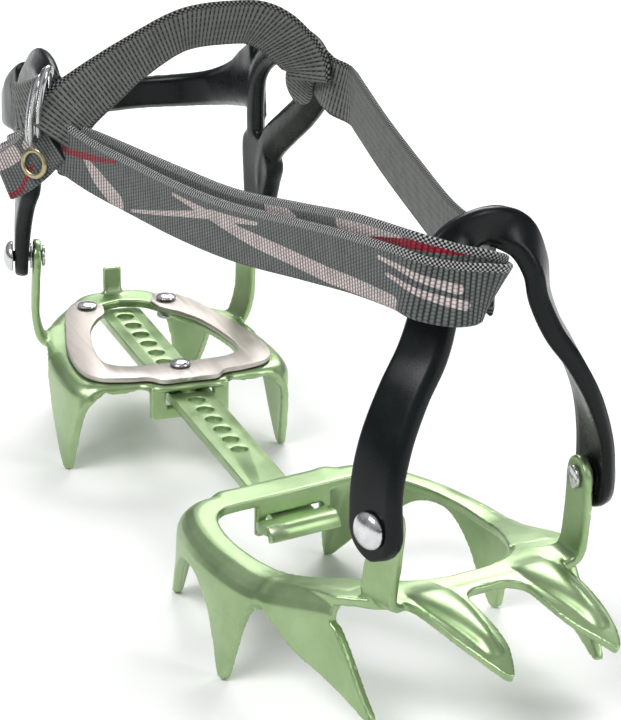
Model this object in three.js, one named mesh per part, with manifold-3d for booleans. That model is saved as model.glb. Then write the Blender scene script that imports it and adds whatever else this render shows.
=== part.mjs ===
// Strap-on mountaineering crampon, in millimetres, +Z up, toe towards +X.
// A stamped toe frame with eight points, a punched linking bar, a stamped heel frame with a
// sprung length latch, two plastic bails and a webbing harness.
import * as THREE from 'three'
import { mergeVertices } from 'three/addons/utils/BufferGeometryUtils.js'
import Module from 'manifold-3d'

const wasm = await Module()
wasm.setup()

// ---- driving dimensions -------------------------------------------------------------------
const holePitch = 8
const holeCount = 15
const holeRadius = 2.4
const firstHoleX = -64.5
const barWidth = 13
const barThickness = 3
const barTop = 26.5
const sheetGap = 0.4
const heelSheet = 2.5
const heelTop = barTop + 0.5 + heelSheet
const springSheet = 1.5
const springTop = heelTop + sheetGap + springSheet
const toeSheet = 2.6
const toeYaw = THREE.MathUtils.degToRad(14.3)
const toeOrigin = [80, 0]
const toeShift = -3.75
const toeRearHeight = 31.5
const toeFrontHeight = 38.5
const toeEar = [105.6, 30.6, 63]
const toeCant = THREE.MathUtils.degToRad(10)
const heelEar = [-47, 33, 56]
const heelCant = THREE.MathUtils.degToRad(-14)
const toeArm = 4
const heelArm = 4
const strapWidth = 17.5
const strapThickness = 1.8
const ankleX = 9.5
const wireRadius = 1.6
const ringPitch = 7.1

// ---- materials ----------------------------------------------------------------------------
function material(color, roughness, metalness) {
  return new THREE.MeshStandardMaterial({ color, roughness, metalness })
}
const greenSteel = material(0xb4d6a0, 0.35, 0.8)
const springSteel = material(0xc9bfb4, 0.35, 0.9)
const rivetSteel = material(0xd6d6d8, 0.25, 0.95)
const blackPlastic = material(0x16181a, 0.5, 0)
const webbing = material(0x6c6f70, 0.9, 0)
const brass = material(0xb59a55, 0.35, 0.9)

// ---- solids -------------------------------------------------------------------------------
function solidOf(geometry) {
  const bare = new THREE.BufferGeometry()
  bare.setAttribute('position', geometry.getAttribute('position').clone())
  if (geometry.index) bare.setIndex(geometry.index.clone())
  const merged = mergeVertices(bare, 1e-4)
  return new wasm.Manifold(new wasm.Mesh({
    numProp: 3,
    vertProperties: new Float32Array(merged.getAttribute('position').array),
    triVerts: new Uint32Array(merged.index.array),
  }))
}

function geometryOf(solid) {
  const mesh = solid.getMesh()
  const geometry = new THREE.BufferGeometry()
  geometry.setAttribute('position', new THREE.BufferAttribute(new Float32Array(mesh.vertProperties), 3))
  geometry.setIndex(new THREE.BufferAttribute(new Uint32Array(mesh.triVerts), 1))
  geometry.computeVertexNormals()
  return geometry
}

function join(solids) {
  return solids.reduce((sum, solid) => sum.add(solid))
}

// A solid with its faces outwards, whichever way round its triangles were listed.
function outward(vertices, triangles) {
  let volume = 0
  for (let i = 0; i < triangles.length; i += 3) {
    const [a, b, c] = triangles.slice(i, i + 3).map((k) => vertices[k])
    volume += a.dot(b.clone().cross(c))
  }
  const geometry = new THREE.BufferGeometry()
  const flat = vertices.flatMap((point) => point.toArray())
  geometry.setAttribute('position', new THREE.BufferAttribute(new Float32Array(flat), 3))
  geometry.setIndex(volume > 0 ? triangles : triangles.slice().reverse())
  return solidOf(geometry)
}

function vector(list) {
  return new THREE.Vector3(list[0], list[1] ?? 0, list[2] ?? 0)
}

// A smooth reading of a short list: rows[i] is met at u = i.
function smooth(rows, u) {
  if (rows.length === 1) return vector(rows[0])
  const curve = new THREE.CatmullRomCurve3(rows.map(vector), false, 'catmullrom', 0.5)
  return curve.getPoint(THREE.MathUtils.clamp(u / (rows.length - 1), 0, 1))
}

// A strip along a smooth route. Each row of shape is [width, thickness], each row of across is
// the direction of the width, and corner is the share of the thickness that is rounded off.
function strip({ route, across, shape, steps, corner = 0.5, closed = false }) {
  const last = route.length - 1
  const at = (u) => {
    if (!closed) return smooth(route, u)
    return new THREE.CatmullRomCurve3(route.map(vector), true, 'catmullrom', 0.5).getPoint(u / route.length)
  }
  const read = (rows, u) => smooth(rows, rows.length === 1 ? 0 : u * (rows.length - 1) / span)
  const span = closed ? route.length : last
  const rings = []
  const count = closed ? steps : steps + 1
  for (let i = 0; i < count; i += 1) {
    const u = span * i / steps
    const centre = at(u)
    const before = at(closed ? (u - 0.05 + span) % span : Math.max(u - 0.05, 0))
    const after = at(closed ? (u + 0.05) % span : Math.min(u + 0.05, span))
    const along = after.sub(before).normalize()
    const wide = read(across, u)
    wide.addScaledVector(along, -wide.dot(along)).normalize()
    const thin = along.clone().cross(wide).normalize()
    const [width, thickness] = read(shape, u).toArray()
    const cut = corner * thickness / 2
    const a = width / 2
    const b = thickness / 2
    const section = [[a, b - cut], [a - cut, b], [cut - a, b], [-a, b - cut],
      [-a, cut - b], [cut - a, -b], [a - cut, -b], [a, cut - b]]
    rings.push(section.map(([w, t]) => centre.clone().addScaledVector(wide, w).addScaledVector(thin, t)))
  }
  const size = 8
  const triangles = []
  const links = closed ? count : count - 1
  for (let i = 0; i < links; i += 1) {
    const next = (i + 1) % count
    for (let j = 0; j < size; j += 1) {
      const k = (j + 1) % size
      triangles.push(i * size + j, next * size + k, i * size + k)
      triangles.push(i * size + j, next * size + j, next * size + k)
    }
  }
  if (!closed) {
    const end = (count - 1) * size
    for (let j = 1; j < size - 1; j += 1) {
      triangles.push(0, j, j + 1)
      triangles.push(end, end + j + 1, end + j)
    }
  }
  return outward(rings.flat(), triangles)
}

// A pressed sheet of even thickness about a grid of points on its middle surface. A looped
// sheet's last row meets its first.
function pressedSheet(grid, thickness, looped = false) {
  const rows = grid.length
  const columns = grid[0].length
  const row = (i) => grid[looped ? (i + rows) % rows : THREE.MathUtils.clamp(i, 0, rows - 1)]
  const lifts = [thickness / 2, -thickness / 2]
  const faces = lifts.flatMap((lift) => grid.flatMap((line, i) => line.map((point, j) => {
    const up = row(i + 1)[j].clone().sub(row(i - 1)[j])
    const side = line[Math.min(j + 1, columns - 1)].clone().sub(line[Math.max(j - 1, 0)])
    return point.clone().addScaledVector(up.cross(side).normalize(), lift)
  })))
  const under = rows * columns
  const triangles = []
  const quad = (a, b, c, d) => triangles.push(a, b, c, a, c, d)
  const spans = looped ? rows : rows - 1
  for (let i = 0; i < spans; i += 1) {
    const a = i * columns
    const b = ((i + 1) % rows) * columns
    for (let j = 0; j < columns - 1; j += 1) {
      quad(a + j, b + j, b + j + 1, a + j + 1)
      quad(a + j + under, a + j + 1 + under, b + j + 1 + under, b + j + under)
    }
    quad(b, a, a + under, b + under)
    quad(a + columns - 1, b + columns - 1, b + columns - 1 + under, a + columns - 1 + under)
  }
  if (!looped) {
    const end = (rows - 1) * columns
    for (let j = 0; j < columns - 1; j += 1) {
      quad(j, j + 1, j + 1 + under, j + under)
      quad(end + j + 1, end + j, end + j + under, end + j + 1 + under)
    }
  }
  return outward(faces, triangles)
}

// A flat-topped rail whose outer side is bent down into a skirt, alike on both sides. inner and
// outer are outlines in plan, teeth are rows of [place along the outline, x, y, z] on the
// skirt's lower edge, all from y = 0 round one side.
function skirtedRail({ inner, outer, teeth, height, bend, sheet, looped }) {
  const half = teeth.map(([u, x, y, z]) => {
    const inside = smooth(inner, u)
    const outside = smooth(outer, u)
    const outwards = outside.clone().sub(inside).setZ(0).normalize()
    const topOut = height(outside.x)
    const radius = Math.max(Math.min(bend, topOut - z - 0.1), 0.3)
    const flatEnd = outside.clone().addScaledVector(outwards, -radius).setZ(topOut)
    const edge = inside.clone().setZ(height(inside.x))
    const column = [edge, edge.clone().lerp(flatEnd, 0.75).setZ(topOut), flatEnd]
    for (const degrees of [30, 60, 90]) {
      const angle = THREE.MathUtils.degToRad(degrees)
      const point = flatEnd.clone().addScaledVector(outwards, radius * Math.sin(angle))
      column.push(point.setZ(topOut - radius * (1 - Math.cos(angle))))
    }
    column.push(new THREE.Vector3(x, y, z))
    return column
  })
  const flip = (column) => column.map((point) => new THREE.Vector3(point.x, -point.y, point.z))
  const other = half.slice(1, looped ? -1 : undefined).map(flip).reverse()
  return pressedSheet(other.concat(half), sheet, looped)
}

function flatPlate(points, z, thickness, holes = []) {
  const shape = new THREE.Shape(points.map(([x, y]) => new THREE.Vector2(x, y)))
  const geometry = new THREE.ExtrudeGeometry(shape, { depth: thickness, bevelEnabled: false })
  const drills = holes.map(([x, y, radius]) => rod(radius, [x, y, z - 1], [x, y, z + thickness + 1]))
  return drills.reduce((rest, drill) => rest.subtract(drill), solidOf(geometry.translate(0, 0, z)))
}

function block(low, high) {
  const size = high.map((value, k) => value - low[k])
  const geometry = new THREE.BoxGeometry(...size)
  return solidOf(geometry.translate(...low.map((value, k) => value + size[k] / 2)))
}

function rod(radius, from, to, sides = 14) {
  const a = vector(from)
  const b = vector(to)
  const geometry = new THREE.CylinderGeometry(radius, radius, a.distanceTo(b), sides)
  const along = b.clone().sub(a).normalize()
  const turn = new THREE.Quaternion().setFromUnitVectors(new THREE.Vector3(0, 1, 0), along)
  return solidOf(geometry.applyQuaternion(turn).translate(...a.add(b).multiplyScalar(0.5).toArray()))
}

function turned(profile, sides = 12) {
  return solidOf(new THREE.LatheGeometry(profile.map(([r, z]) => new THREE.Vector2(r, z)), sides))
}

const model = new THREE.Group()
const heelUnit = new THREE.Group()
const toeUnit = new THREE.Group()
toeUnit.rotation.z = toeYaw
toeUnit.position.set(
  toeOrigin[0] - toeShift * Math.sin(toeYaw),
  toeOrigin[1] + toeShift * Math.cos(toeYaw),
  0,
)
model.add(heelUnit, toeUnit)

function place(group, name, solid, look) {
  const mesh = new THREE.Mesh(geometryOf(solid), look)
  mesh.name = name
  group.add(mesh)
  return mesh
}

// ---- toe frame ----------------------------------------------------------------------------
function toeHeight(x) {
  const share = THREE.MathUtils.smoothstep(x, 55, 100)
  const nose = Math.max(x - 104, 0) / 38
  return THREE.MathUtils.lerp(toeRearHeight, toeFrontHeight, share) + 3 * nose - 11 * nose * nose
}

const toeOuter = [[3, 0], [3, 12], [2.5, 20], [4, 27], [9, 33], [20, 38.3], [33, 41.8], [50, 43.5],
  [66, 42.5], [80, 40.5], [92, 38]]
const toeInner = [[14.5, 0], [14.5, 11], [14.5, 19], [15.5, 24], [20, 28], [28, 31.3], [38, 33.3],
  [50, 33.8], [64, 32], [76, 27.5], [88, 21]]
const toeTeeth = [[0, 3, 0, 28.5], [1, 3, 12, 28.5], [1.7, 2, 17, 28], [2.2, -2, 21, 21],
  [2.7, -6, 24.3, 0.9], [2.95, -4.2, 26.2, 0.9], [3.4, 5, 31.3, 11], [4.2, 12.5, 35.3, 17.5],
  [4.8, 19, 38, 22.8], [5.4, 26, 40, 24.6], [5.9, 33, 41.8, 23.3], [6.3, 39.5, 42.6, 17.3],
  [6.6, 44, 43.4, 9], [6.85, 48.4, 44.6, 0.9], [7, 51.2, 44.8, 0.9], [7.15, 54, 44.2, 9],
  [7.4, 57, 43.6, 18], [7.7, 61, 43.2, 25], [7.95, 65, 42.8, 26.8], [8.3, 70.5, 42.2, 24.5],
  [8.7, 79, 41, 19.6], [9.1, 89, 39.3, 16.4], [9.4, 99, 37.8, 12.8], [9.6, 107.3, 36.8, 9.4],
  [9.72, 109, 36.7, 10.8], [9.82, 103.5, 37, 18.3], [9.92, 98.8, 37.3, 25], [10, 94, 37.8, 31]]

function toeRail() {
  return skirtedRail({
    inner: toeInner,
    outer: toeOuter,
    teeth: toeTeeth,
    height: toeHeight,
    bend: 6,
    sheet: toeSheet,
    looped: false,
  })
}

// The nose plate is a sheet over [y, rear edge, front edge], with the two front points on it.
const noseEdges = [[0, 98, 107.5], [5, 98, 107.8], [8, 97.6, 110], [9.3, 97, 114], [9.8, 97, 124],
  [11.2, 96.5, 132], [13.4, 95.6, 137.4], [15.6, 94.5, 141.6], [16.8, 93.8, 142.6], [18.4, 92.6, 141],
  [20.4, 90.6, 136], [22.4, 88, 128], [23.6, 86, 119], [24.3, 84.5, 110], [25.4, 82, 105.5],
  [28, 77, 103.5], [32, 73, 101], [35, 72, 96.5], [38, 72, 92.5]]

const noseSteps = 7

function nosePlate() {
  const half = noseEdges.slice(1).reverse().map(([y, rear, front]) => [-y, rear, front])
  const grid = half.concat(noseEdges).map(([y, rear, front]) => {
    const column = []
    for (let k = 0; k <= noseSteps; k += 1) {
      const x = THREE.MathUtils.lerp(rear, front, k / noseSteps)
      const offside = Math.max(x - 106, 0) / 20
      const crown = 0.035 * Math.min(offside, 1) * (Math.abs(y) - 16.8) ** 2
      column.push(new THREE.Vector3(x, y, toeHeight(x) - crown))
    }
    return column
  })
  return pressedSheet(grid, toeSheet)
}

// Directions at a bail's rivet: across the arm and out along the rivet, on either side.
function acrossArm(cant, side) {
  return [Math.cos(cant), -side * Math.sin(cant), 0]
}

function outOfArm(cant, side) {
  return new THREE.Vector3(Math.sin(cant), side * Math.cos(cant), 0)
}

function onSide(rows, side) {
  return rows.map(([x, y, z]) => [x, side * y, z])
}

// A post bends up out of the frame and ends in a round ear for the bail's rivet.
function bailPost({ route, width, sheet, ear, cant, earRadius, bore, side }) {
  const blade = strip({
    route: onSide([...route, ear], side),
    across: [acrossArm(cant, side)],
    shape: [[width, sheet]],
    steps: 8,
    corner: 0.3,
  })
  const eye = vector(onSide([ear], side)[0])
  const along = (distance) => eye.clone().addScaledVector(outOfArm(cant, side), distance).toArray()
  const disc = rod(earRadius, along(-sheet / 2), along(sheet / 2), 20)
  return blade.add(disc).subtract(rod(bore, along(-5), along(5), 12))
}

function toeFrame() {
  const posts = [-1, 1].map((side) => bailPost({
    route: [[100, 24, 38.4], [101.4, 28.6, 38.8], [102.6, 31, 42], [104.4, 31, 52]],
    width: 11.5,
    sheet: toeSheet,
    ear: toeEar,
    cant: toeCant,
    earRadius: 5.7,
    bore: 2.1,
    side,
  }))
  const flange = block([12.2, -11.4, 21.2], [14.5, 12.8, toeRearHeight])
  const window = block([10, -8.6, 23.1], [18, 9.8, 27])
  return join([toeRail(), nosePlate(), ...posts]).add(flange).subtract(window)
}

// ---- linking bar --------------------------------------------------------------------------
// The bar's wide head is square to the toe frame, so it is drawn in the toe frame's own axes.
const barHead = [[16, -7.5], [14.9, -12.2], [16.4, -12.6], [20.4, -12.2], [20.4, 11], [16.4, 11.4],
  [14.9, 11], [16, 6.5]]

function fromToe([x, y]) {
  return new THREE.Vector3(x, y, 0).applyEuler(toeUnit.rotation).add(toeUnit.position).toArray()
}

function linkingBar() {
  const half = barWidth / 2
  const head = barHead.map(fromToe)
  const outline = [[-72, -3.5], [-70, -half], [92, -half], ...head, [92, half], [-70, half], [-72, 3.5]]
  const holes = []
  for (let k = 0; k < holeCount; k += 1) holes.push([firstHoleX + k * holePitch, 0, holeRadius])
  const lip = strip({
    route: [[19.6, 0, 25], [21.2, 0, 24.4], [21.9, 0, 22.2]]
      .map(([x, y, z]) => [...fromToe([x, y - 0.6]).slice(0, 2), z]),
    across: [[-Math.sin(toeYaw), Math.cos(toeYaw), 0]],
    shape: [[23, 2.6]],
    steps: 3,
    corner: 0.3,
  })
  return flatPlate(outline, barTop - barThickness, barThickness, holes).add(lip)
}

// ---- heel frame ---------------------------------------------------------------------------
const heelOuter = [[1, 0], [1, 9], [-3, 14], [-4, 24], [-6, 31], [-14, 33.5], [-30, 33],
  [-40, 31], [-50, 28.7], [-59, 25.5], [-70, 18], [-78, 9], [-79.5, 0]]
const heelInner = [[-12, 0], [-12, 8], [-12, 13], [-13, 18], [-16, 21], [-20, 22], [-30, 21.5],
  [-40, 19.5], [-48, 17], [-54, 14], [-62, 11], [-68.5, 6.5], [-71, 0]]
const heelTeeth = [[0, 1, 0, 27.6], [1, 1, 9, 27.6], [2, -3, 14, 27.4], [3, -4, 24, 27],
  [3.6, -3.5, 29.5, 25], [4, -5.5, 32, 18], [4.4, -12, 33.2, 0.9], [4.8, -15, 33.4, 0.9],
  [5.3, -21, 33.4, 7], [5.7, -27, 33.3, 15.5], [6.2, -32, 33, 22.5], [6.7, -37, 32, 26.6],
  [7.6, -46, 29.8, 27.4], [8.4, -53.5, 27.6, 27.2], [8.9, -58, 26, 24], [9.3, -60.6, 23.8, 14],
  [9.7, -64.8, 19.6, 0.9], [9.9, -66.8, 18.2, 0.9], [10.2, -69.8, 17.6, 14], [10.5, -73.5, 14.6, 24.5],
  [11, -78, 9, 27.3], [12, -79.5, 0, 27.4]]

function heelRail() {
  return skirtedRail({
    inner: heelInner,
    outer: heelOuter,
    teeth: heelTeeth,
    height: () => heelTop - heelSheet / 2,
    bend: 3.5,
    sheet: heelSheet,
    looped: true,
  })
}

const springRivets = [[-63, -12.6], [-63, 12.6]]
const lockPinX = firstHoleX + 7 * holePitch

function heelFrame() {
  const posts = [-1, 1].map((side) => bailPost({
    route: [[-50, 24, heelTop - 1.3], [-49.4, 30.4, heelTop - 0.8], [-48.6, 33, 36], [-47.8, 33.2, 46]],
    width: 9,
    sheet: 2.4,
    ear: heelEar,
    cant: heelCant,
    earRadius: 5,
    bore: 2,
    side,
  }))
  const flange = block([-1.4, -12, 18.6], [1.2, 12, heelTop - 0.8])
  const window = block([-4, -7.4, 22.2], [4, 7.4, heelTop - heelSheet])
  const tabRoute = [[-73, 0, heelTop - 1.3], [-76.6, 0, heelTop - 1.2], [-78.6, 0, 31.5], [-79, 0, 37.6]]
  const tab = strip({ route: tabRoute, across: [[0, 1, 0]], shape: [[6, 2.2]], steps: 6, corner: 0.3 })
  const holes = springRivets.map(([x, y]) => rod(1.9, [x, y, 20], [x, y, 40], 12))
  const pinHole = rod(2.7, [lockPinX, 0, heelTop - heelSheet - 3], [lockPinX, 0, 40], 14)
  const body = join([heelRail(), ...posts, flange, tab]).subtract(window)
  return [...holes, pinHole].reduce((rest, hole) => rest.subtract(hole), body)
}

// ---- spring plate, its rivets and the lock pin ----------------------------------------------
const springOutside = [[-69, 10], [-68, 15.5], [-60, 20.5], [-46, 24.5], [-30, 28.5], [-14, 29.5],
  [-6, 26], [-3, 18], [-2, 12], [1.5, 8], [1.5, 0]]
const springInside = [[-11.5, 0], [-11.5, 10], [-13, 17], [-18, 21], [-29, 20.5], [-43, 17.5],
  [-52, 13], [-57, 9], [-63, 7.6]]

function springPlate() {
  const samples = (rows, count) => Array.from({ length: count + 1 },
    (_, i) => smooth(rows, (rows.length - 1) * i / count).toArray().slice(0, 2))
  const half = samples(springOutside, 20)
  const inside = samples(springInside, 12)
  const right = half.map(([x, y]) => [x, -y])
  const outline = [...half, ...right.reverse().slice(1), ...inside.map(([x, y]) => [x, -y]).reverse(),
    ...inside.slice(1)]
  const holes = [...springRivets.map(([x, y]) => [x, y, 1.9]), [lockPinX, 0, 1.9]]
  return flatPlate(outline, springTop - springSheet, springSheet, holes)
}

function springRivet([x, y]) {
  const low = heelTop - heelSheet - 0.3
  const headBase = springTop + 0.5
  return turned([[0, low - 1], [2.8, low - 1], [2.8, low], [1.6, low], [1.6, headBase],
    [3.4, headBase], [3, headBase + 0.7], [1.8, headBase + 1.3], [0, headBase + 1.5]])
    .rotate([90, 0, 0]).translate([x, y, 0])
}

function lockPin() {
  return turned([[0, barTop + 0.3], [1.6, barTop + 0.3], [1.6, springTop + 0.3], [3.1, springTop + 0.3],
    [2.7, springTop + 0.8], [1.5, springTop + 1.3], [0, springTop + 1.5]])
    .rotate([90, 0, 0]).translate([lockPinX, 0, 0])
}

// ---- bails --------------------------------------------------------------------------------
// Where a bail's arm, washer and rivet lie along the rivet, measured from the ear's middle.
function stack(sheet, washer, play, arm) {
  const washerIn = sheet / 2 + 0.3
  const armIn = washerIn + washer + play
  const headIn = armIn + arm + play
  return {
    washerIn,
    washerOut: washerIn + washer,
    armMiddle: armIn + arm / 2,
    headIn,
    tail: -sheet / 2 - 0.3,
  }
}
const toeStack = stack(toeSheet, 0.4, 0.32, toeArm)
const heelStack = stack(2.4, 0.5, 0.6, heelArm)

function alongRivet(ear, cant, side, distance) {
  return vector(onSide([ear], side)[0]).addScaledVector(outOfArm(cant, side), distance)
}

function onRivet(profile, ear, cant, side) {
  const turn = new THREE.Quaternion().setFromUnitVectors(new THREE.Vector3(0, 1, 0), outOfArm(cant, side))
  const outline = profile.map(([r, y]) => new THREE.Vector2(r, y))
  const geometry = new THREE.LatheGeometry(outline, 12).applyQuaternion(turn)
  return solidOf(geometry.translate(...onSide([ear], side)[0]))
}

function bailRivet(head, ear, cant, side, { headIn, tail }) {
  const shank = 1.6
  return onRivet([[0, tail - 1], [3, tail - 1], [3, tail], [shank, tail], [shank, headIn], [head, headIn],
    [head, headIn + 0.7], [head * 0.85, headIn + 1.7], [head * 0.5, headIn + 2.5], [0, headIn + 2.8]],
  ear, cant, side)
}

function washerDisc(radius, ear, cant, side, { washerIn, washerOut }) {
  return onRivet([[2, washerIn], [radius, washerIn], [radius, washerOut], [2, washerOut], [2, washerIn]],
    ear, cant, side)
}

function boreArms(band, ear, cant, radius) {
  const bores = [-1, 1].map((side) => rod(radius, alongRivet(ear, cant, side, 1.7).toArray(),
    alongRivet(ear, cant, side, 9).toArray(), 12))
  return bores.reduce((rest, bore) => rest.subtract(bore), band)
}

function toeBail() {
  const eye = alongRivet(toeEar, toeCant, 1, toeStack.armMiddle).toArray()
  const lowEnd = [eye[0], eye[1], 54.6]
  const half = [lowEnd, eye, [106, 34.6, 74], [105.8, 31.8, 86], [105.2, 26.4, 97.6], [104.4, 20.4, 107],
    [103.6, 16.8, 116], [103, 15.4, 124.6], [101.8, 10.6, 133], [100.6, 0, 137]]
  const low = acrossArm(toeCant, 1)
  const halfAcross = [low, low, low, [1, -0.3, 0], [1, -0.4, -0.1], [1, -0.55, -0.1], [0.9, -0.7, 0],
    [0.8, -0.8, -0.2], [0.45, -0.6, -0.7], [-0.1, 0, -1]]
  const halfShape = [[14, 3.8], [16.4, toeArm], [16, toeArm], [14.8, 4.6], [14, 5], [13.4, 5.4], [12.6, 5.4],
    [12, 5.2], [11.4, 5], [11, 4.8]]
  const back = (rows) => rows.slice(0, -1).reverse()
  const band = strip({
    route: onSide(half, -1).concat(back(half)),
    across: onSide(halfAcross, -1).concat(back(halfAcross)),
    shape: halfShape.concat(back(halfShape)),
    steps: 38,
    corner: 0.7,
  })
  return boreArms(band, toeEar, toeCant, 2.3)
}

function heelBail() {
  const eye = alongRivet(heelEar, heelCant, 1, heelStack.armMiddle).toArray()
  const low = acrossArm(heelCant, 1)
  const sides = [-1, 1].flatMap((side) => [
    strip({
      route: onSide([[eye[0], eye[1], 49.4], eye, [-47.6, 37.6, 66], [-46, 38.6, 76], [-43, 39.4, 86],
        [-39, 40, 92]], side),
      across: onSide([low, low, low, low, [1, 0.15, 0.2], [1, 0.1, 0.3]], side),
      shape: [[9, 4], [11.4, heelArm], [12, 4.8], [13, 5], [15, 5.2], [13, 5.2]],
      steps: 8,
      corner: 0.7,
    }),
    strip({
      route: onSide([[-39, 40, 89], [-47.6, 40.2, 97], [-48, 40.4, 107], [-41, 40.8, 116.6], [-30, 41, 124],
        [-16, 41.2, 129], [-5, 41.2, 129], [1.4, 41, 124], [-0.6, 40.8, 116], [-13, 40.4, 105],
        [-28, 40.2, 93.4]], side),
      across: [[0, 1, 0]],
      shape: [[5.2, 7.6]],
      steps: 22,
      corner: 0.45,
      closed: true,
    }),
  ])
  const half = [[-47, 41, 106], [-58, 40.4, 101], [-72, 36.6, 95], [-86, 26, 90.6], [-93, 12, 88.6],
    [-94, 0, 88]]
  const band = strip({
    route: onSide(half, -1).concat(half.slice(0, -1).reverse()),
    across: [[0, 0, 1]],
    shape: [[10.6, 5]],
    steps: 20,
    corner: 0.7,
  })
  return boreArms(join([...sides, band]), heelEar, heelCant, 2.4)
}

// ---- harness ------------------------------------------------------------------------------
function toeSpace(rows) {
  return rows.map(([x, y, z]) => [...fromToe([x, y]).slice(0, 2), z])
}

function webbingStrip(route, across, thickness, steps) {
  return strip({ route, across, shape: [[strapWidth, thickness]], steps, corner: 0.9 })
}

// The near run goes from the heel anchor to the toe bail's right arm and turns in through it.
function nearStrap() {
  const run = [[3, -37.4, 105], [15, -34, 106.8], [40, -29, 109.4], [70, -23.4, 112.2],
    [100, -17.8, 116], [136, -11, 123], [162, -6.2, 128.4]]
  const turn = toeSpace([[100, -23.4, 131.4], [108.4, -22.6, 132.4], [113.6, -17.6, 132.6],
    [114, -10, 130.4], [110.8, -3.8, 126.4], [105.4, -1.4, 122.6]])
  return webbingStrip([...run, ...turn], [[0, 0, 1]], strapThickness, 22)
}

// The tail is the free end, folded back along the outside of the near run.
function strapTail() {
  const run = [[6, -40, 101.6], [20, -36.4, 102.4], [42, -31.2, 104.4], [72, -25.8, 107.2],
    [102, -20.2, 111.2], [136, -13.6, 118.4], [162, -8.8, 123.8]]
  const turn = toeSpace([[99, -26, 127], [109, -25.2, 128.6], [116, -19.4, 129.4], [117, -11, 130],
    [116, -3.2, 130.6]])
  return webbingStrip([...run, ...turn], [[0, 0, 1]], strapThickness, 26)
}

function farStrap() {
  const run = [[16.4, 43, 120.4], [30, 41.4, 119.6], [60, 38, 118.6], [100, 34, 118.2], [130, 31, 118.6]]
  const turn = toeSpace([[76, 16, 119.4], [88, 11.4, 120.2], [97, 6.2, 120.8], [101.8, 2.4, 121.2]])
  return webbingStrip([...run, ...turn], [[0, 0, 1]], strapThickness, 22)
}

function ankleStrap() {
  const arch = [[-38.8, 120.7], [-35.6, 123.3], [-28.5, 128.3], [-21, 133.3], [-9.2, 139.7], [-0.5, 141.9],
    [8.5, 142.5], [19, 140.7], [28.7, 136.3], [35.5, 129.6], [37.8, 125]]
  return webbingStrip(arch.map(([y, z]) => [ankleX, y, z]), [[0.47, 0, 0.88]], strapThickness, 20)
}

function keeperTab() {
  return webbingStrip([[-2, 34, 122], [-5, 34, 114], [-8, 34.4, 107]], [[1, 0.35, 0.1]], strapThickness, 5)
}

// The folded, eyeleted end that holds the near run on the heel bail.
function strapAnchor() {
  return strip({
    route: [[2.4, -45.6, 96.2], [-2, -49.6, 95.6], [-10, -51.6, 94.8], [-18, -51.6, 93.8]],
    across: [[0.25, 0, 1]],
    shape: [[15, 3.6], [16.4, 4.4], [16.4, 4.4], [15, 4]],
    steps: 8,
    corner: 0.8,
  })
}

function eyelet() {
  const rim = turned([[1.7, 0], [3.3, 0], [3.3, 0.5], [2.5, 1], [1.7, 0.8], [1.7, 0]])
  return rim.rotate([0, 0, -135]).translate([2.3, -49.9, 96.4])
}

function buckleWebbing() {
  return strip({
    route: [[-2, -46.4, 129.4], [-4, -50, 127.6], [-8, -51.4, 125.4], [-11, -48.6, 123.6]],
    across: [[0.5, 0, 0.86]],
    shape: [[10.6, 3]],
    steps: 6,
    corner: 0.8,
  })
}

// The two wire rings hang side by side, wide enough for the webbing.
function wireRing(index) {
  const apart = new THREE.Vector3(0, -0.8, -0.6)
  const centre = new THREE.Vector3(6, -45.5, 119.5).addScaledVector(apart, ringPitch * index)
  const long = new THREE.Vector3(0.47, 0, 0.88).setLength(10.8)
  const short = new THREE.Vector3(-0.83, -0.33, 0.45).setLength(5)
  const route = Array.from({ length: 12 }, (_, k) => {
    const angle = Math.PI * k / 6
    const point = centre.clone().addScaledVector(long, Math.cos(angle))
    return point.addScaledVector(short, Math.sin(angle)).toArray()
  })
  const wire = 2 * wireRadius
  const shape = [[wire, wire]]
  return strip({ route, across: [[0, -0.8, -0.6]], shape, steps: 16, corner: 0.58, closed: true })
}

const sides = [[-1, 'right'], [1, 'left']]
place(toeUnit, 'toe_frame', toeFrame(), greenSteel)
place(heelUnit, 'linking_bar', linkingBar(), greenSteel)
place(heelUnit, 'heel_frame', heelFrame(), greenSteel)
place(heelUnit, 'spring_plate', springPlate(), springSteel)
place(heelUnit, 'lock_pin', lockPin(), rivetSteel)
place(toeUnit, 'toe_bail', toeBail(), blackPlastic)
place(heelUnit, 'heel_bail', heelBail(), blackPlastic)
sides.forEach(([side, word], k) => {
  place(heelUnit, `spring_rivet_${word}`, springRivet(springRivets[k]), rivetSteel)
  place(toeUnit, `toe_bail_rivet_${word}`, bailRivet(5.2, toeEar, toeCant, side, toeStack), rivetSteel)
  place(toeUnit, `toe_bail_washer_${word}`, washerDisc(4, toeEar, toeCant, side, toeStack), rivetSteel)
  place(heelUnit, `heel_bail_rivet_${word}`, bailRivet(4.6, heelEar, heelCant, side, heelStack), rivetSteel)
  place(heelUnit, `heel_bail_washer_${word}`, washerDisc(3.8, heelEar, heelCant, side, heelStack), rivetSteel)
})
place(heelUnit, 'near_strap', nearStrap(), webbing)
place(heelUnit, 'strap_tail', strapTail(), webbing)
place(heelUnit, 'far_strap', farStrap(), webbing)
place(heelUnit, 'ankle_strap', ankleStrap(), webbing)
place(heelUnit, 'keeper_tab', keeperTab(), webbing)
place(heelUnit, 'strap_anchor', strapAnchor(), webbing)
place(heelUnit, 'buckle_webbing', buckleWebbing(), webbing)
place(heelUnit, 'eyelet', eyelet(), brass)
place(heelUnit, 'ring_inner', wireRing(0), rivetSteel)
place(heelUnit, 'ring_outer', wireRing(1), rivetSteel)

// The origin is on the ground, under the middle of the whole crampon.
model.updateMatrixWorld(true)
const bounds = new THREE.Box3().setFromObject(model, true)
const middle = bounds.getCenter(new THREE.Vector3())
model.position.set(-middle.x, -middle.y, -bounds.min.z)

export default model
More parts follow.
